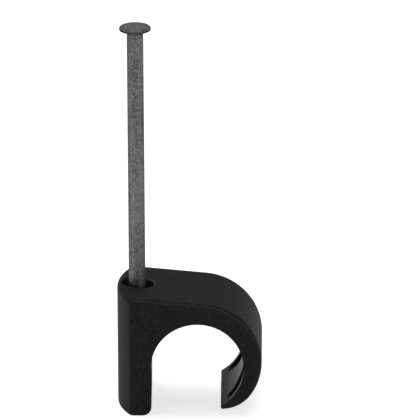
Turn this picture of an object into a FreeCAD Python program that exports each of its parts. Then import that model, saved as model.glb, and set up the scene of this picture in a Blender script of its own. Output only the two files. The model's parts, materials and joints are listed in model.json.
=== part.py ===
import FreeCAD, Part
import math
import os
import Sketcher

# Nail-in cable clip: a moulded clip body and the steel nail that fixes it to a wall.
# Millimetres. The wall is the plane Z = 0, the nail runs up the Z axis, the cable lies
# along Y, and the hook reaches out along +X and curls back towards the wall.

SIZES = [
    ("clip_depth", 19.0, "clip body, front face to back face"),
    ("back_reach", 3.61, "nail axis to the rounded back of the leg"),
    ("back_radius", 20.0, "plan radius of the rounded back"),
    ("leg_reach", 2.49, "nail axis to the flat inner face of the leg"),
    ("toe_radius", 1.6, "corner between the leg's inner face and its foot"),
    ("seat_diameter", 16.7, "cable seat"),
    ("seat_base", 0.59, "wall to the lowest point of the seat's circle"),
    ("seat_inset", 0.05, "seat's circle behind the leg's inner face"),
    ("arm_wall", 3.28, "wall of the arm beside the seat"),
    ("crown_radius", 11.14, "outer radius over the crown"),
    ("crown_rise", 0.82, "crown centre above the seat axis"),
    ("crown_fall", 5.75, "fall of the flat top towards the arm, degrees"),
    ("heel_radius", 10.63, "outer radius below the arm's widest point"),
    ("heel_sweep", 36.6, "sweep of that radius, degrees"),
    ("hook_gap", 0.85, "wall to the underside of the hook"),
    ("tip_reach", 4.17, "seat axis to the end of the hook, along the wall"),
    ("tip_radius", 0.65, "lower corner of the hook's end"),
    ("edge_radius", 1.1, "rounding of the outer edges"),
    ("slot_rim", 1.2, "face of the clip to the relief slot beside it"),
    ("slot_depth", 1.9, "relief slots into the arm, at their deepest"),
    ("slot_reach", 50.0, "run of the slots to each side of their deepest, degrees"),
    ("tongue_foot", 14.5, "tongue between the slots, level with the hook's underside"),
    ("tongue_neck", 7.7, "tongue above its taper"),
    ("tongue_taper", 4.4, "height of the taper above the hook's underside"),
    ("shank_diameter", 3.0, "nail shank"),
    ("bore_clearance", 0.05, "radial clearance of the shank in its bore"),
    ("head_diameter", 5.68, "nail head"),
    ("head_clearance", 0.14, "radial clearance of the head in its pocket"),
    ("pocket_depth", 3.0, "head pocket below the top, on the nail axis"),
    ("pocket_lip", 0.2, "rounding of the pocket's mouth"),
    ("head_thickness", 0.5, "nail head"),
    ("head_edge", 0.13, "bevel around the head"),
    ("neck_radius", 0.35, "fillet under the head"),
    ("neck_clearance", 0.05, "neck to the bore's mouth with the nail driven home"),
    ("grip_depth", 0.07, "grip marks in the shank"),
    ("grip_width", 0.3, "grip marks along the shank"),
    ("grip_start", 0.62, "underside of the head to the first grip mark"),
    ("grip_pitch", 0.58, "one grip mark to the next"),
    ("grip_count", 2, "grip marks"),
    ("nail_length", 70.0, "nail, head to tip"),
    ("tip_height", 0.75, "wall to the nail's tip, before it is driven"),
    ("point_length", 4.6, "four-sided point"),
    ("point_flat", 0.12, "half width of the blunt tip"),
]

doc = FreeCAD.newDocument("cable_clip")
sheet = doc.addObject("Spreadsheet::Sheet", "Sizes")
for row, (alias, value, note) in enumerate(SIZES, start=1):
    sheet.set(f"A{row}", note)
    sheet.set(f"B{row}", str(value))
    sheet.setAlias(f"B{row}", alias)
doc.recompute()


def size(alias):
    return float(sheet.get(alias))


# Sizes that follow from the sheet, first as expressions and then as numbers.
SEAT_RADIUS = "Sizes.seat_diameter / 2"
SEAT_X = f"(Sizes.leg_reach + {SEAT_RADIUS} - Sizes.seat_inset)"
SEAT_Z = f"(Sizes.seat_base + {SEAT_RADIUS})"
ARM_X = f"({SEAT_X} + {SEAT_RADIUS} + Sizes.arm_wall)"
CROWN_X = f"({ARM_X} - Sizes.crown_radius)"
CROWN_Z = f"({SEAT_Z} + Sizes.crown_rise)"
FALL = "(Sizes.crown_fall * 1 deg)"
TOP_Z = (f"({CROWN_Z} + Sizes.crown_radius * cos({FALL})"
         f" + ({CROWN_X} + Sizes.crown_radius * sin({FALL})) * tan({FALL}))")

seat_radius = size("seat_diameter") / 2
seat_x = size("leg_reach") + seat_radius - size("seat_inset")
seat_z = size("seat_base") + seat_radius
arm_x = seat_x + seat_radius + size("arm_wall")
crown_radius = size("crown_radius")
crown_x = arm_x - crown_radius
crown_z = seat_z + size("crown_rise")
fall = math.radians(size("crown_fall"))
heel_sweep = math.radians(size("heel_sweep"))
heel_radius = size("heel_radius")
heel_x = arm_x - heel_radius
hook_gap = size("hook_gap")
hook_radius = (crown_z - heel_radius * math.sin(heel_sweep) - hook_gap) / (1 - math.sin(heel_sweep))
hook_x = heel_x + (heel_radius - hook_radius) * math.cos(heel_sweep)
hook_z = hook_gap + hook_radius
top_x = crown_x + crown_radius * math.sin(fall)
top_z = crown_z + crown_radius * math.cos(fall) + top_x * math.tan(fall)
half_depth = size("clip_depth") / 2


def vec(x, y):
    return FreeCAD.Vector(x, y, 0)


def line(x1, y1, x2, y2):
    return Part.LineSegment(vec(x1, y1), vec(x2, y2))


def arc(x, y, radius, start, end):
    circle = Part.Circle(vec(x, y), FreeCAD.Vector(0, 0, 1), radius)
    return Part.ArcOfCircle(circle, start, end)


def new_body(name):
    body = doc.addObject("PartDesign::Body", name)
    body.Label = name
    return body


def origin_feature(body, role):
    """One of the body's own origin planes or axes."""
    return next(o for o in body.Origin.OriginFeatures if o.Role == role)


def new_sketch(body, name, role, height=None):
    """A sketch on one of the body's own origin planes, lifted off it by an expression."""
    sketch = body.newObject("Sketcher::SketchObject", name)
    sketch.AttachmentSupport = [(origin_feature(body, role), "")]
    sketch.MapMode = "FlatFace"
    if height is not None:
        sketch.setExpression("AttachmentOffset.Base.z", height)
    return sketch


def relate(sketch, kind, *where):
    return sketch.addConstraint(Sketcher.Constraint(kind, *where))


def drive(sketch, kind, *where, to):
    """A dimension whose value is an expression of the sheet."""
    value = sketch.evalExpression(to)
    if kind == "Angle":
        value = float(value.getValueAs("rad"))
    index = sketch.addConstraint(Sketcher.Constraint(kind, *where, float(value)))
    sketch.setExpression(f"Constraints[{index}]", to)
    return index


# Clip body, blank: the outer outline, from the foot round the hook's heel, up the arm,
# over the crown and back along the sloping top.
clip = new_body("clip_body")
outline = new_sketch(clip, "outline", "XZ_Plane")
back = -size("back_reach")
leg = size("leg_reach")
foot, step, under, hook, heel, crown, top, rear = range(8)
outline.addGeometry([
    line(back, 0, leg, 0),
    line(leg, 0, leg, hook_gap),
    line(leg, hook_gap, hook_x, hook_gap),
    arc(hook_x, hook_z, hook_radius, -math.pi / 2, -heel_sweep),
    arc(heel_x, crown_z, heel_radius, -heel_sweep, 0),
    arc(crown_x, crown_z, crown_radius, 0, math.pi / 2 - fall),
    line(top_x, crown_z + crown_radius * math.cos(fall), back, top_z - back * math.tan(fall)),
    line(back, top_z - back * math.tan(fall), back, 0),
], False)
START, END, CENTRE = 1, 2, 3
ORIGIN = (-1, START)
relate(outline, "Coincident", foot, END, step, START)
relate(outline, "Coincident", step, END, under, START)
relate(outline, "Tangent", under, END, hook, START)
relate(outline, "Tangent", hook, END, heel, START)
relate(outline, "Tangent", heel, END, crown, START)
relate(outline, "Tangent", crown, END, top, START)
relate(outline, "Coincident", top, END, rear, START)
relate(outline, "Coincident", rear, END, foot, START)
relate(outline, "PointOnObject", foot, START, -1)
relate(outline, "Horizontal", foot)
relate(outline, "Vertical", step)
relate(outline, "Horizontal", under)
relate(outline, "Vertical", rear)
relate(outline, "Horizontal", crown, CENTRE, crown, START)
drive(outline, "DistanceX", foot, START, *ORIGIN, to="Sizes.back_reach")
drive(outline, "DistanceX", *ORIGIN, foot, END, to="Sizes.leg_reach")
drive(outline, "DistanceY", *ORIGIN, step, END, to="Sizes.hook_gap")
drive(outline, "DistanceX", *ORIGIN, crown, START, to=ARM_X)
drive(outline, "DistanceY", *ORIGIN, crown, CENTRE, to=CROWN_Z)
drive(outline, "Radius", crown, to="Sizes.crown_radius")
drive(outline, "Radius", heel, to="Sizes.heel_radius")
drive(outline, "Angle", heel, to="Sizes.heel_sweep * 1 deg")
drive(outline, "Angle", top, to=f"180 deg - {FALL}")

blank = clip.newObject("PartDesign::Pad", "blank")
blank.Profile = outline
blank.SideType = "Symmetric"
blank.setExpression("Length", "Sizes.clip_depth")
doc.recompute()


CUT_TOLERANCE = 1e-4
EDGE_TOLERANCE = 1e-3


def check(feature):
    """Stops the build where a feature failed without raising."""
    if feature.State and {"Invalid", "Error"} & set(feature.State):
        raise RuntimeError(f"{feature.Label}: {feature.State}")
    if feature.Shape.isNull() or not feature.Shape.isValid():
        raise RuntimeError(f"{feature.Label}: no valid shape")


def removes(feature, before):
    """A cut that points away from the solid takes nothing and shows no error."""
    doc.recompute()
    check(feature)
    if not feature.Shape.Volume < before.Shape.Volume - CUT_TOLERANCE:
        raise RuntimeError(f"{feature.Label} removes nothing")


check(blank)

# Rounded back of the leg: the plan arc, cut through the whole height.
back_plan = new_sketch(clip, "back_plan", "XY_Plane")
margin = size("clip_depth") / 4
plan_x = back + size("back_radius")
plan_y = half_depth + margin
plan_angle = math.asin(plan_y / size("back_radius"))
plan_end = plan_x - size("back_radius") * math.cos(plan_angle)
curve, low, side, high = range(4)
back_plan.addGeometry([
    arc(plan_x, 0, size("back_radius"), math.pi - plan_angle, math.pi + plan_angle),
    line(plan_end, -plan_y, back - margin, -plan_y),
    line(back - margin, -plan_y, back - margin, plan_y),
    line(back - margin, plan_y, plan_end, plan_y),
], False)
relate(back_plan, "Coincident", curve, END, low, START)
relate(back_plan, "Coincident", low, END, side, START)
relate(back_plan, "Coincident", side, END, high, START)
relate(back_plan, "Coincident", high, END, curve, START)
relate(back_plan, "Horizontal", low)
relate(back_plan, "Horizontal", high)
relate(back_plan, "PointOnObject", curve, CENTRE, -1)
relate(back_plan, "Symmetric", side, START, side, END, -1)
drive(back_plan, "Radius", curve, to="Sizes.back_radius")
drive(back_plan, "DistanceX", *ORIGIN, curve, CENTRE, to="Sizes.back_radius - Sizes.back_reach")
drive(back_plan, "DistanceY", side, START, side, END, to="Sizes.clip_depth * 1.5")
drive(back_plan, "DistanceX", side, START, *ORIGIN, to="Sizes.back_reach + Sizes.clip_depth / 4")
rounded_back = clip.newObject("PartDesign::Pocket", "rounded_back")
rounded_back.Profile = back_plan
rounded_back.Type = "ThroughAll"
rounded_back.Reversed = True
removes(rounded_back, blank)

# Rounding of the outer edges: round both faces' outer outline, over the top of the
# rounded back and down its two creases. The foot stays sharp.
def outer_edges(shape):
    names = []
    for number, edge in enumerate(shape.Edges, start=1):
        middle = edge.valueAt((edge.FirstParameter + edge.LastParameter) / 2)
        on_face = abs(abs(middle.y) - half_depth) < EDGE_TOLERANCE
        on_foot = abs(middle.z) < EDGE_TOLERANCE
        on_step = abs(middle.x - leg) < EDGE_TOLERANCE
        from_plan = math.hypot(middle.x - plan_x, middle.y)
        on_back = abs(from_plan - size("back_radius")) < EDGE_TOLERANCE
        if (on_face or on_back) and not on_foot and not on_step:
            names.append(f"Edge{number}")
    return names


edges = clip.newObject("PartDesign::Fillet", "edges")
edges.Base = (rounded_back, outer_edges(rounded_back.Shape))
edges.setExpression("Radius", "Sizes.edge_radius")
removes(edges, rounded_back)

# Cable seat and mouth, cut right through: the toe of the leg, its inner face, the round
# seat, the blunt end of the hook and the open mouth towards the wall.
opening = new_sketch(clip, "opening", "XZ_Plane")
toe_radius = size("toe_radius")
tip_radius = size("tip_radius")
tip_x = seat_x + size("tip_reach")
tip_angle = -math.acos(size("tip_reach") / seat_radius)
seat_foot = seat_z + seat_radius * math.sin(tip_angle)
leg_angle = math.acos((leg - seat_x) / seat_radius)
leg_top = seat_z + seat_radius * math.sin(leg_angle)
toe_x = leg - toe_radius
toe_drop, toe, face, seat, tip, corner, tip_drop, below = range(8)
opening.addGeometry([
    line(toe_x, -margin, toe_x, 0),
    arc(toe_x, toe_radius, toe_radius, -math.pi / 2, 0),
    line(leg, toe_radius, leg, leg_top),
    arc(seat_x, seat_z, seat_radius, tip_angle, leg_angle),
    line(tip_x, seat_foot, tip_x, hook_gap + tip_radius),
    arc(tip_x + tip_radius, hook_gap + tip_radius, tip_radius, math.pi, math.pi * 3 / 2),
    line(tip_x + tip_radius, hook_gap, tip_x + tip_radius, -margin),
    line(tip_x + tip_radius, -margin, toe_x, -margin),
], False)
relate(opening, "Coincident", toe_drop, END, toe, START)
relate(opening, "Tangent", toe, END, face, START)
relate(opening, "Coincident", face, END, seat, END)
relate(opening, "Coincident", seat, START, tip, START)
relate(opening, "Tangent", tip, END, corner, START)
relate(opening, "Coincident", corner, END, tip_drop, START)
relate(opening, "Coincident", tip_drop, END, below, START)
relate(opening, "Coincident", below, END, toe_drop, START)
relate(opening, "Vertical", toe_drop)
relate(opening, "Vertical", face)
relate(opening, "Vertical", tip)
relate(opening, "Vertical", tip_drop)
relate(opening, "Horizontal", below)
relate(opening, "PointOnObject", toe, START, -1)
relate(opening, "Vertical", toe, CENTRE, toe, START)
relate(opening, "Vertical", corner, CENTRE, corner, END)
drive(opening, "Radius", toe, to="Sizes.toe_radius")
drive(opening, "Radius", seat, to=SEAT_RADIUS)
drive(opening, "Radius", corner, to="Sizes.tip_radius")
drive(opening, "DistanceX", *ORIGIN, face, START, to="Sizes.leg_reach")
drive(opening, "DistanceX", *ORIGIN, seat, CENTRE, to=SEAT_X)
drive(opening, "DistanceY", *ORIGIN, seat, CENTRE, to=SEAT_Z)
drive(opening, "DistanceX", seat, CENTRE, tip, START, to="Sizes.tip_reach")
drive(opening, "DistanceY", *ORIGIN, corner, END, to="Sizes.hook_gap")
drive(opening, "DistanceY", below, START, *ORIGIN, to="Sizes.clip_depth / 4")
cable_seat = clip.newObject("PartDesign::Pocket", "cable_seat")
cable_seat.Profile = opening
cable_seat.Type = "ThroughAll"
cable_seat.SideType = "Symmetric"
removes(cable_seat, edges)


def circle_sketch(body, name, role, height, radius, centre_x="0", centre_y="0"):
    sketch = new_sketch(body, name, role, height)
    at = vec(float(sheet.evalExpression(centre_x)), float(sheet.evalExpression(centre_y)))
    disc = Part.Circle(at, FreeCAD.Vector(0, 0, 1), float(sheet.evalExpression(radius)))
    sketch.addGeometry(disc, False)
    if (centre_x, centre_y) == ("0", "0"):
        relate(sketch, "Coincident", 0, CENTRE, *ORIGIN)
    else:
        drive(sketch, "DistanceX", *ORIGIN, 0, CENTRE, to=centre_x)
        drive(sketch, "DistanceY", *ORIGIN, 0, CENTRE, to=centre_y)
    drive(sketch, "Radius", 0, to=radius)
    return sketch


# Bore for the shank, right through the leg, and the pocket that takes the nail's head.
bore_circle = circle_sketch(clip, "bore_circle", "XY_Plane", "0 mm",
                            "Sizes.shank_diameter / 2 + Sizes.bore_clearance")
nail_bore = clip.newObject("PartDesign::Pocket", "nail_bore")
nail_bore.Profile = bore_circle
nail_bore.Type = "ThroughAll"
nail_bore.Reversed = True
removes(nail_bore, cable_seat)

pocket_circle = circle_sketch(clip, "pocket_circle", "XY_Plane", f"{TOP_Z} - Sizes.pocket_depth",
                              "Sizes.head_diameter / 2 + Sizes.head_clearance")
head_pocket = clip.newObject("PartDesign::Pocket", "head_pocket")
head_pocket.Profile = pocket_circle
head_pocket.Type = "ThroughAll"
head_pocket.Reversed = True
removes(head_pocket, nail_bore)

# Relief slots in the hook, one to each side of the tongue that grips the cable. The core
# that forms them is a disc wider than the arm, which meets the seat at slot_reach to
# either side; a tapered gap across it leaves the tongue.
SLOT_EDGE = f"({SEAT_RADIUS} + Sizes.slot_depth)"
SLOT_SHIFT = (f"(({SLOT_EDGE})^2 - ({SEAT_RADIUS})^2)"
              f" / (2 * ({SLOT_EDGE} - {SEAT_RADIUS} * cos(Sizes.slot_reach * 1 deg)))")
core = new_body("slot_core")
slot_disc = circle_sketch(core, "slot_disc", "XZ_Plane", "0 mm", f"{SLOT_EDGE} - {SLOT_SHIFT}",
                          f"{SEAT_X} + {SLOT_SHIFT}", SEAT_Z)
core_disc = core.newObject("PartDesign::Pad", "core_disc")
core_disc.Profile = slot_disc
core_disc.SideType = "Symmetric"
core_disc.setExpression("Length", "Sizes.clip_depth - 2 * Sizes.slot_rim")
doc.recompute()
check(core_disc)

tongue = new_sketch(core, "tongue", "YZ_Plane", SEAT_X)
foot_y = size("tongue_foot") / 2
neck_y = size("tongue_neck") / 2
taper_top = hook_gap + size("tongue_taper")
bottom, right_taper, right_side, lid, left_side, left_taper = range(6)
tongue.addGeometry([
    line(-foot_y, hook_gap, foot_y, hook_gap),
    line(foot_y, hook_gap, neck_y, taper_top),
    line(neck_y, taper_top, neck_y, top_z),
    line(neck_y, top_z, -neck_y, top_z),
    line(-neck_y, top_z, -neck_y, taper_top),
    line(-neck_y, taper_top, -foot_y, hook_gap),
], False)
relate(tongue, "Coincident", bottom, END, right_taper, START)
relate(tongue, "Coincident", right_taper, END, right_side, START)
relate(tongue, "Coincident", right_side, END, lid, START)
relate(tongue, "Coincident", lid, END, left_side, START)
relate(tongue, "Coincident", left_side, END, left_taper, START)
relate(tongue, "Coincident", left_taper, END, bottom, START)
relate(tongue, "Symmetric", bottom, START, bottom, END, -2)
relate(tongue, "Symmetric", right_side, START, left_side, END, -2)
relate(tongue, "Symmetric", right_side, END, left_side, START, -2)
relate(tongue, "Vertical", right_side)
drive(tongue, "DistanceX", bottom, START, bottom, END, to="Sizes.tongue_foot")
drive(tongue, "DistanceX", left_side, END, right_side, START, to="Sizes.tongue_neck")
drive(tongue, "DistanceY", *ORIGIN, bottom, START, to="Sizes.hook_gap")
drive(tongue, "DistanceY", right_taper, START, right_taper, END, to="Sizes.tongue_taper")
drive(tongue, "DistanceY", *ORIGIN, right_side, END, to=TOP_Z)
core_gap = core.newObject("PartDesign::Pocket", "core_gap")
core_gap.Profile = tongue
core_gap.Type = "ThroughAll"
core_gap.Reversed = True
removes(core_gap, core_disc)

slots = clip.newObject("PartDesign::Boolean", "slots")
slots.Type = "Cut"
slots.setObjects([core])
clip.Tip = slots
removes(slots, head_pocket)

# Rounded mouth of the head pocket.
pocket_radius = size("head_diameter") / 2 + size("head_clearance")
mouth = []
for number, edge in enumerate(slots.Shape.Edges, start=1):
    on_wall = all(abs(math.hypot(v.X, v.Y) - pocket_radius) < EDGE_TOLERANCE for v in edge.Vertexes)
    if on_wall and edge.BoundBox.ZMin > top_z - size("pocket_depth") / 2:
        if edge.BoundBox.ZLength < size("pocket_depth") / 2:
            mouth.append(f"Edge{number}")
lip = clip.newObject("PartDesign::Fillet", "lip")
lip.Base = (slots, mouth)
lip.setExpression("Radius", "Sizes.pocket_lip")
clip.Tip = lip
removes(lip, slots)


# Nail, turned form: flat head with a bevelled edge, a small fillet under it, and the
# shank down to the level of the tip.
nail = new_body("nail")
NAIL_TOP = "(Sizes.tip_height + Sizes.nail_length)"
HEAD_UNDER = f"({NAIL_TOP} - Sizes.head_thickness)"
tip_z = size("tip_height")
nail_top = tip_z + size("nail_length")
head_radius = size("head_diameter") / 2
head_under = nail_top - size("head_thickness")
shank_radius = size("shank_diameter") / 2
bevel = size("head_edge")
neck_radius = size("neck_radius")
turned = new_sketch(nail, "turned", "XZ_Plane")
face, edge, rim, under, neck, shank, end, axis = range(8)
turned.addGeometry([
    line(0, nail_top, head_radius - bevel, nail_top),
    line(head_radius - bevel, nail_top, head_radius, nail_top - bevel),
    line(head_radius, nail_top - bevel, head_radius, head_under),
    line(head_radius, head_under, shank_radius + neck_radius, head_under),
    arc(shank_radius + neck_radius, head_under - neck_radius, neck_radius, math.pi / 2, math.pi),
    line(shank_radius, head_under - neck_radius, shank_radius, tip_z),
    line(shank_radius, tip_z, 0, tip_z),
    line(0, tip_z, 0, nail_top),
], False)
relate(turned, "Coincident", face, END, edge, START)
relate(turned, "Coincident", edge, END, rim, START)
relate(turned, "Coincident", rim, END, under, START)
relate(turned, "Tangent", under, END, neck, START)
relate(turned, "Tangent", neck, END, shank, START)
relate(turned, "Coincident", shank, END, end, START)
relate(turned, "Coincident", end, END, axis, START)
relate(turned, "Coincident", axis, END, face, START)
relate(turned, "Horizontal", face)
relate(turned, "Vertical", rim)
relate(turned, "Horizontal", under)
relate(turned, "Vertical", shank)
relate(turned, "Horizontal", end)
relate(turned, "PointOnObject", axis, START, -2)
relate(turned, "PointOnObject", axis, END, -2)
drive(turned, "DistanceX", *ORIGIN, rim, START, to="Sizes.head_diameter / 2")
drive(turned, "DistanceX", edge, START, edge, END, to="Sizes.head_edge")
drive(turned, "DistanceY", edge, END, edge, START, to="Sizes.head_edge")
drive(turned, "DistanceX", *ORIGIN, shank, START, to="Sizes.shank_diameter / 2")
drive(turned, "Radius", neck, to="Sizes.neck_radius")
drive(turned, "DistanceY", *ORIGIN, face, START, to=NAIL_TOP)
drive(turned, "DistanceY", *ORIGIN, rim, END, to=HEAD_UNDER)
drive(turned, "DistanceY", *ORIGIN, end, END, to="Sizes.tip_height")
turning = nail.newObject("PartDesign::Revolution", "turning")
turning.Profile = turned
turning.ReferenceAxis = (turned, ["V_Axis"])
turning.Angle = 360
doc.recompute()
check(turning)

# Marks left under the head by the dies that gripped the wire while the head was struck.
grip_radius = shank_radius + size("grip_depth")
grip_z = head_under - size("grip_start")
grip_half = size("grip_width") / 2
grip = new_sketch(nail, "grip", "XZ_Plane")
high_side, outside, low_side, low_flank, high_flank = range(5)
grip.addGeometry([
    line(shank_radius, grip_z + grip_half, grip_radius, grip_z + grip_half),
    line(grip_radius, grip_z + grip_half, grip_radius, grip_z - grip_half),
    line(grip_radius, grip_z - grip_half, shank_radius, grip_z - grip_half),
    line(shank_radius, grip_z - grip_half, shank_radius - size("grip_depth"), grip_z),
    line(shank_radius - size("grip_depth"), grip_z, shank_radius, grip_z + grip_half),
], False)
relate(grip, "Coincident", high_side, END, outside, START)
relate(grip, "Coincident", outside, END, low_side, START)
relate(grip, "Coincident", low_side, END, low_flank, START)
relate(grip, "Coincident", low_flank, END, high_flank, START)
relate(grip, "Coincident", high_flank, END, high_side, START)
relate(grip, "Horizontal", high_side)
relate(grip, "Vertical", outside)
relate(grip, "Horizontal", low_side)
relate(grip, "Vertical", high_side, START, low_side, END)
drive(grip, "DistanceX", *ORIGIN, high_side, START, to="Sizes.shank_diameter / 2")
drive(grip, "DistanceX", high_side, START, high_side, END, to="Sizes.grip_depth")
drive(grip, "DistanceX", high_flank, START, high_flank, END, to="Sizes.grip_depth")
drive(grip, "DistanceY", outside, END, outside, START, to="Sizes.grip_width")
drive(grip, "DistanceY", high_flank, START, high_flank, END, to="Sizes.grip_width / 2")
drive(grip, "DistanceY", *ORIGIN, high_flank, START, to=f"{HEAD_UNDER} - Sizes.grip_start")
grip_mark = nail.newObject("PartDesign::Groove", "grip_mark")
grip_mark.Profile = grip
grip_mark.ReferenceAxis = (grip, ["V_Axis"])
grip_mark.Angle = 360
removes(grip_mark, turning)

grip_marks = nail.newObject("PartDesign::LinearPattern", "grip_marks")
grip_marks.Originals = [grip_mark]
grip_marks.Direction = (grip, ["V_Axis"])
grip_marks.Reversed = True
grip_marks.Mode = "Spacing"
grip_marks.setExpression("Offset", "Sizes.grip_pitch")
grip_marks.setExpression("Occurrences", "Sizes.grip_count")
nail.Tip = grip_marks
removes(grip_marks, grip_mark)

# Point: four flats meet in a small blunt square.
taper = new_sketch(nail, "taper", "XZ_Plane")
wide = head_radius
slope = size("point_length") / (shank_radius - size("point_flat"))
wide_z = tip_z + slope * (wide - size("point_flat"))
flat, outside, below = range(3)
taper.addGeometry([
    line(size("point_flat"), tip_z, wide, wide_z),
    line(wide, wide_z, wide, tip_z),
    line(wide, tip_z, size("point_flat"), tip_z),
], False)
relate(taper, "Coincident", flat, END, outside, START)
relate(taper, "Coincident", outside, END, below, START)
relate(taper, "Coincident", below, END, flat, START)
relate(taper, "Vertical", outside)
relate(taper, "Horizontal", below)
drive(taper, "DistanceX", *ORIGIN, flat, START, to="Sizes.point_flat")
drive(taper, "DistanceY", *ORIGIN, flat, START, to="Sizes.tip_height")
drive(taper, "DistanceX", *ORIGIN, outside, START, to="Sizes.head_diameter / 2")
drive(taper, "DistanceY", outside, END, outside, START,
      to="Sizes.point_length * (Sizes.head_diameter / 2 - Sizes.point_flat)"
         " / (Sizes.shank_diameter / 2 - Sizes.point_flat)")
point_flat = nail.newObject("PartDesign::Pocket", "point_flat")
point_flat.Profile = taper
point_flat.Type = "ThroughAll"
point_flat.SideType = "Symmetric"
removes(point_flat, grip_marks)

point = nail.newObject("PartDesign::PolarPattern", "point")
point.Originals = [point_flat]
point.Axis = (origin_feature(nail, "Z_Axis"), [""])
point.Angle = 360
point.Occurrences = 4
nail.Tip = point
removes(point, point_flat)

# The nail drives down until its neck is just clear of the bore's mouth.
travel = sheet.evalExpression(f"{HEAD_UNDER} - {TOP_Z} + Sizes.pocket_depth"
                              " - Sizes.neck_radius - Sizes.neck_clearance")
print(f"nail travel {float(travel):.3f} mm, top of the clip on the nail axis {top_z:.3f} mm")

for feature in doc.Objects:
    if "Invalid" in feature.State or "Error" in feature.State:
        raise RuntimeError(f"{feature.Label}: {feature.State}")
os.makedirs("parts", exist_ok=True)
for body in (clip, nail):
    check(body)
    if len(body.Shape.Solids) != 1:
        raise RuntimeError(f"{body.Label} is not one solid")
    body.Shape.exportStep(f"parts/{body.Label}.step")
    box = body.Shape.BoundBox
    print(f"{body.Label}: {body.Shape.Volume:.1f} mm3, {box.XLength:.2f} x {box.YLength:.2f}"
          f" x {box.ZLength:.2f} mm, Z {box.ZMin:.2f} to {box.ZMax:.2f}")
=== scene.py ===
import json
import math

import bmesh
import bpy
from mathutils import Matrix, Vector


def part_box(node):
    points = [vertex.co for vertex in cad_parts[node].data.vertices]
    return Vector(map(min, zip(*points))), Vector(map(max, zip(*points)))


# Nail-in cable clip, as packed: the frame of both pieces, in metres, wall at Z = 0,
# nail up the Z axis, cable along Y.
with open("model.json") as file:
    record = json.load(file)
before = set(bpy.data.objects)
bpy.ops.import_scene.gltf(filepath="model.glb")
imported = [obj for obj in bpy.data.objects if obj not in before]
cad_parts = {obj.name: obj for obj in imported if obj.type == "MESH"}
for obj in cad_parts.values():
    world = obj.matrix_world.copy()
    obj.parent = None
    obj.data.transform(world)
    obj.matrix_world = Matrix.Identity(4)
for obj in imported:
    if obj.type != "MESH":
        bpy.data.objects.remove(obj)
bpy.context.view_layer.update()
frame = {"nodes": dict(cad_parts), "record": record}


# Camera: a long lens, a little above the clip and a touch to the hook's side of it, held
# with a slight roll. foot_at is where the nail's axis meets the wall in the picture, in
# pixels from its top left corner, and pixel is the length that one of them spans there.
camera_rise = math.radians(19.47)
camera_turn = math.radians(0.504)
camera_roll = math.radians(0.436)
pixel = 0.00018068
picture_side = 420
foot_at = (138.24, 397.41)

# Views from other sides keep this lens, and see no further than 100 radii of the part. From
# further off the lens would be longer, and they would stand too far away to see the part.
camera_distance = 3.2

right = Vector((math.cos(camera_turn), math.sin(camera_turn), 0))
ahead = Vector((-math.sin(camera_turn) * math.cos(camera_rise),
                math.cos(camera_turn) * math.cos(camera_rise),
                -math.sin(camera_rise)))
up = right.cross(ahead)
lean_right = right * math.cos(camera_roll) - up * math.sin(camera_roll)
lean_up = up * math.cos(camera_roll) + right * math.sin(camera_roll)
off_centre = (picture_side / 2 - foot_at[0], foot_at[1] - picture_side / 2)
aim = (lean_right * off_centre[0] + lean_up * off_centre[1]) * pixel

camera_data = bpy.data.cameras.new("camera")
camera = bpy.data.objects.new("camera", camera_data)
bpy.context.scene.collection.objects.link(camera)
camera_data.sensor_width = 36
camera_data.lens = camera_data.sensor_width * camera_distance / (pixel * picture_side)
camera_data.clip_start = 0.1
camera_data.clip_end = 20
camera.matrix_world = Matrix((lean_right, lean_up, -ahead)).transposed().to_4x4()
camera.location = aim - ahead * camera_distance
bpy.context.scene.camera = camera


def add(tree, kind, settings=None, links=None):
    """Adds one shader node. Settings are its properties and plain input values, links its wires."""
    node = tree.nodes.new(kind)
    for name, value in (settings or {}).items():
        if isinstance(name, str) and hasattr(node, name):
            setattr(node, name, value)
        else:
            node.inputs[name].default_value = value
    for name, source in (links or {}).items():
        tree.links.new(source, node.inputs[name])
    return node


def add_ramp(tree, source, *stops):
    """Adds a colour ramp on a source, between two stops of (position, colour)."""
    node = add(tree, "ShaderNodeValToRGB", None, {"Fac": source})
    for element, (position, colour) in zip(node.color_ramp.elements, stops):
        element.position = position
        element.color = colour
    return node


def linear(code):
    """An sRGB hex colour as the linear colour that a shader takes."""
    channels = [int(code[i:i + 2], 16) / 255 for i in (1, 3, 5)]
    return [c / 12.92 if c <= 0.04045 else ((c + 0.055) / 1.055) ** 2.4 for c in channels] + [1]


def new_material(name):
    """An empty node material."""
    material = bpy.data.materials.new(name)
    material.use_nodes = True
    material.node_tree.nodes.clear()
    return material


# Floor: a plain white studio sweep of matt paper, lit by the same lamps as the clip. The
# camera and reflections see it at full white, and it keeps the clip's soft shadow.
floor_size = 6.0
floor_lift = 0.72

paper = new_material("white studio paper")
tree = paper.node_tree
matt = add(tree, "ShaderNodeBsdfDiffuse", {"Color": linear("#b9b9b9")})
white = add(tree, "ShaderNodeEmission", {"Color": linear("#ffffff"), "Strength": floor_lift})
ray = add(tree, "ShaderNodeLightPath")
seen = add(tree, "ShaderNodeMath", {"operation": "MAXIMUM"},
           {0: ray.outputs["Is Camera Ray"], 1: ray.outputs["Is Glossy Ray"]})
seen = add(tree, "ShaderNodeMath", {"operation": "MAXIMUM"},
           {0: seen.outputs[0], 1: ray.outputs["Is Transmission Ray"]})
lift = add(tree, "ShaderNodeMixShader", None, {0: seen.outputs[0], 2: white.outputs[0]})
both = add(tree, "ShaderNodeAddShader", None, {0: matt.outputs[0], 1: lift.outputs[0]})
add(tree, "ShaderNodeOutputMaterial", None, {"Surface": both.outputs[0]})

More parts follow.
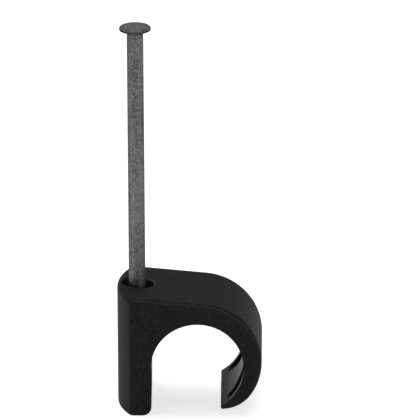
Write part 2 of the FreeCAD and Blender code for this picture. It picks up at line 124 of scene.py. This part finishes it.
sweep = bmesh.new()
bmesh.ops.create_grid(sweep, x_segments=1, y_segments=1, size=floor_size / 2)
floor_mesh = bpy.data.meshes.new("studio_floor")
sweep.to_mesh(floor_mesh)
sweep.free()
floor_mesh.materials.append(paper)
floor = bpy.data.objects.new("studio_floor", floor_mesh)
bpy.context.scene.collection.objects.link(floor)


# Studio light: a pale room that is brightest near the floor, one large soft box overhead,
# set a little back, and a small one to each side of the camera.
room_low = (0.58, 0.58, 0.58, 1)
room_high = (0.19, 0.19, 0.19, 1)

room = bpy.data.worlds.new("studio room")
bpy.context.scene.world = room
room.use_nodes = True
tree = room.node_tree
tree.nodes.clear()
direction = add(tree, "ShaderNodeTexCoord")
height = add(tree, "ShaderNodeSeparateXYZ", None, {"Vector": direction.outputs["Generated"]})
fade = add_ramp(tree, height.outputs["Z"], (0.02, room_low), (0.30, room_high))
walls = add(tree, "ShaderNodeBackground", {"Strength": 1.0}, {"Color": fade.outputs["Color"]})
add(tree, "ShaderNodeOutputWorld", None, {"Surface": walls.outputs[0]})

soft_boxes = (
    ("overhead_box", (0.0, 0.18, 0.72), 0.55, 5.0),
    ("left_box", (-0.65, -0.5, 0.25), 0.5, 2.2),
    ("right_box", (0.65, -0.5, 0.25), 0.5, 2.2),
)
for name, spot, side, watts in soft_boxes:
    lamp = bpy.data.lights.new(name, "AREA")
    lamp.size = side
    lamp.energy = watts
    box = bpy.data.objects.new(name, lamp)
    box.location = spot
    box.rotation_euler = (aim - Vector(spot)).to_track_quat("-Z", "Y").to_euler()
    bpy.context.scene.collection.objects.link(box)


# Clip body: one moulding in black polypropylene. The mould was spark-eroded, which leaves a
# satin grain on every face, and the colour runs a little cloudy under it. Real grain is about
# 0.03 mm, too fine to show, so it is drawn coarser, at 0.24 mm.
grain_size = 0.00024
grain_depth = 0.00004
cloud_size = 0.0011
cloud_share = 0.35

moulding = new_material("black polypropylene, spark-eroded grain")
tree = moulding.node_tree
place = add(tree, "ShaderNodeTexCoord")
grain = add(tree, "ShaderNodeTexNoise", {"Scale": 1 / grain_size, "Detail": 3, "Roughness": 0.6},
            {"Vector": place.outputs["Object"]})
cloud = add(tree, "ShaderNodeTexNoise", {"Scale": 1 / cloud_size, "Detail": 3, "Roughness": 0.6},
            {"Vector": place.outputs["Object"]})
speckle = add(tree, "ShaderNodeMath", {"operation": "MULTIPLY_ADD", 1: cloud_share},
              {0: cloud.outputs["Fac"], 2: grain.outputs["Fac"]})
tint = add_ramp(tree, speckle.outputs[0], (0.50, linear("#0b0b0b")), (0.85, linear("#252524")))
satin = add(tree, "ShaderNodeMapRange",
            {"From Min": 0.3, "From Max": 0.7, "To Min": 0.60, "To Max": 0.70},
            {"Value": cloud.outputs["Fac"]})

# The core that forms the cable seat is polished, so the seat comes out smoother.
seat = next(mount for mount in frame["record"]["mounts"] if mount["name"] == "cable_seat")
seat_blend = 0.0001
seat_edge = seat["dims"]["r_mm"] / 1000 + seat_blend
seat_roughness = 0.42

from_seat = add(tree, "ShaderNodeVectorMath", {"operation": "SUBTRACT", 1: seat["pos_m"]},
                {0: place.outputs["Object"]})
across_seat = add(tree, "ShaderNodeVectorMath", {"operation": "MULTIPLY", 1: (1, 0, 1)},
                  {0: from_seat.outputs[0]})
seat_reach = add(tree, "ShaderNodeVectorMath", {"operation": "LENGTH"}, {0: across_seat.outputs[0]})
off_seat = add(tree, "ShaderNodeMapRange",
               {"From Min": seat_edge, "From Max": seat_edge + seat_blend},
               {"Value": seat_reach.outputs["Value"]})
polish = add(tree, "ShaderNodeMix", {"data_type": "FLOAT", "A": seat_roughness},
             {"Factor": off_seat.outputs["Result"], "B": satin.outputs["Result"]})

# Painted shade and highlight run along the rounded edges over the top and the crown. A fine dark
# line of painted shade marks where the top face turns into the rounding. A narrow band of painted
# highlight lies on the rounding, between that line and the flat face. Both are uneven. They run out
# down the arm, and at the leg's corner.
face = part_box("clip_body")[1].y
painted_shade_line = face - 0.00071
painted_highlight_band = face - 0.00031
shade_line_half_width = 0.00017
highlight_band_half_width = 0.00012
painted_edge_slope = (0.35, 0, 1)
painted_edge_fade = (0.0200, 0.0212)

spot = add(tree, "ShaderNodeSeparateXYZ", None, {"Vector": place.outputs["Object"]})
depth = add(tree, "ShaderNodeMath", {"operation": "ABSOLUTE"}, {0: spot.outputs["Y"]})
height = add(tree, "ShaderNodeVectorMath", {"operation": "DOT_PRODUCT", 1: painted_edge_slope},
             {0: place.outputs["Object"]})
high = add(tree, "ShaderNodeMapRange", {"From Min": painted_edge_fade[0], "From Max": painted_edge_fade[1]},
           {"Value": height.outputs["Value"]})
uneven = add(tree, "ShaderNodeMapRange", {"From Min": 0.35, "From Max": 0.60, "To Min": 0.50},
             {"Value": cloud.outputs["Fac"]})
painted_edge_strength = add(tree, "ShaderNodeMath", {"operation": "MULTIPLY"},
            {0: high.outputs["Result"], 1: uneven.outputs["Result"]})
shade = tint.outputs["Color"]
# Each stripe paints light into the colour: painted shade for the dark line, a painted highlight for
# the pale band.
for middle, half_width, code in ((painted_shade_line, shade_line_half_width, "#070707"),
                                 (painted_highlight_band, highlight_band_half_width, "#242529")):
    painted_stripe = add(tree, "ShaderNodeMath", {"operation": "COMPARE", 1: middle, 2: half_width},
                 {0: depth.outputs[0]})
    painted_stripe = add(tree, "ShaderNodeMath", {"operation": "MULTIPLY"},
                 {0: painted_stripe.outputs[0], 1: painted_edge_strength.outputs[0]})
    painted_mix = add(tree, "ShaderNodeMix", {"data_type": "RGBA", 7: linear(code)},
                  {0: painted_stripe.outputs[0], 6: shade})
    shade = painted_mix.outputs[2]

# Painted light in the pocket: its mouth and wall are painted a little paler, standing in for the
# light that reaches into it and catches its lip. The colour stops just above the cable seat, so the
# leg's inner face keeps its black.
painted_light_radius = 0.0033
painted_light_foot = 0.0175

flat = add(tree, "ShaderNodeVectorMath", {"operation": "MULTIPLY", 1: (1, 1, 0)},
           {0: place.outputs["Object"]})
radius = add(tree, "ShaderNodeVectorMath", {"operation": "LENGTH"}, {0: flat.outputs[0]})
near_axis = add(tree, "ShaderNodeMath", {"operation": "LESS_THAN", 1: painted_light_radius},
                {0: radius.outputs["Value"]})
above_foot = add(tree, "ShaderNodeMath", {"operation": "GREATER_THAN", 1: painted_light_foot},
                 {0: spot.outputs["Z"]})
in_pocket = add(tree, "ShaderNodeMath", {"operation": "MULTIPLY"},
                {0: near_axis.outputs[0], 1: above_foot.outputs[0]})
# Painted light: the pocket's mouth and wall are mixed to a paler colour.
pocket_painted_light = add(tree, "ShaderNodeMix", {"data_type": "RGBA", 7: linear("#363533")},
            {0: in_pocket.outputs[0], 6: shade})

relief = add(tree, "ShaderNodeBump", {"Strength": 0.6, "Distance": grain_depth},
             {"Height": grain.outputs["Fac"]})
skin = add(tree, "ShaderNodeBsdfPrincipled", {"IOR": 1.49, "Specular IOR Level": 0.08},
           {"Base Color": pocket_painted_light.outputs[2], "Roughness": polish.outputs["Result"],
            "Normal": relief.outputs["Normal"]})
add(tree, "ShaderNodeOutputMaterial", None, {"Surface": skin.outputs[0]})

for slot in frame["nodes"]["clip_body"].material_slots:
    slot.material = moulding


# Nail: drawn steel wire with a struck flat head, under a dull coat of zinc that is mottled
# and a little rubbed. The blow leaves the head's top rougher, and its sheared rim darker.
# The wire was drawn, so its rubbed patches are about three times as long as they are wide.
nail_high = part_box("nail")[1]
rim_radius = nail_high.x - 0.00008
bevel_level = nail_high.z - 0.00013
mottle_size = 0.00042
mottle_depth = 0.00004
rub_size = 0.0022
rub_share = 0.35
rub_squeeze = 0.3
struck_roughness = 0.70

zinc = new_material("zinc-coated drawn steel")
tree = zinc.node_tree
place = add(tree, "ShaderNodeTexCoord")
mottle = add(tree, "ShaderNodeTexNoise", {"Scale": 1 / mottle_size, "Detail": 4, "Roughness": 0.7},
             {"Vector": place.outputs["Object"]})
drawn = add(tree, "ShaderNodeMapping", {"Scale": (1, 1, rub_squeeze)},
            {"Vector": place.outputs["Object"]})
rubbed = add(tree, "ShaderNodeTexNoise", {"Scale": 1 / rub_size, "Detail": 3, "Roughness": 0.6},
             {"Vector": drawn.outputs["Vector"]})
patches = add(tree, "ShaderNodeMath", {"operation": "MULTIPLY_ADD", 1: rub_share},
              {0: rubbed.outputs["Fac"], 2: mottle.outputs["Fac"]})
coat = add_ramp(tree, patches.outputs[0], (0.50, linear("#3c3c3b")), (0.85, linear("#777775")))

spot = add(tree, "ShaderNodeSeparateXYZ", None, {"Vector": place.outputs["Object"]})
flat = add(tree, "ShaderNodeVectorMath", {"operation": "MULTIPLY", 1: (1, 1, 0)},
           {0: place.outputs["Object"]})
radius = add(tree, "ShaderNodeVectorMath", {"operation": "LENGTH"}, {0: flat.outputs[0]})
outside = add(tree, "ShaderNodeMath", {"operation": "GREATER_THAN", 1: rim_radius},
              {0: radius.outputs["Value"]})
below = add(tree, "ShaderNodeMath", {"operation": "LESS_THAN", 1: bevel_level},
            {0: spot.outputs["Z"]})
rim = add(tree, "ShaderNodeMath", {"operation": "MULTIPLY"},
          {0: outside.outputs[0], 1: below.outputs[0]})
sheared = add(tree, "ShaderNodeMix", {"data_type": "RGBA", 7: linear("#3a3531")},
              {0: rim.outputs[0], 6: coat.outputs["Color"]})

dull = add(tree, "ShaderNodeMapRange",
           {"From Min": 0.3, "From Max": 0.7, "To Min": 0.40, "To Max": 0.58},
           {"Value": mottle.outputs["Fac"]})
relief = add(tree, "ShaderNodeBump", {"Strength": 0.5, "Distance": mottle_depth},
             {"Height": mottle.outputs["Fac"]})
struck = add(tree, "ShaderNodeMix", {"data_type": "FLOAT", "A": struck_roughness},
             {"Factor": below.outputs[0], "B": dull.outputs["Result"]})
wire = add(tree, "ShaderNodeBsdfPrincipled", {"Metallic": 1.0, "Specular Tint": linear("#d0d0d0")},
           {"Base Color": sheared.outputs[2], "Roughness": struck.outputs["Result"],
            "Normal": relief.outputs["Normal"]})
add(tree, "ShaderNodeOutputMaterial", None, {"Surface": wire.outputs[0]})

for slot in frame["nodes"]["nail"].material_slots:
    slot.material = zinc


bpy.context.scene.view_settings.view_transform = "Standard"
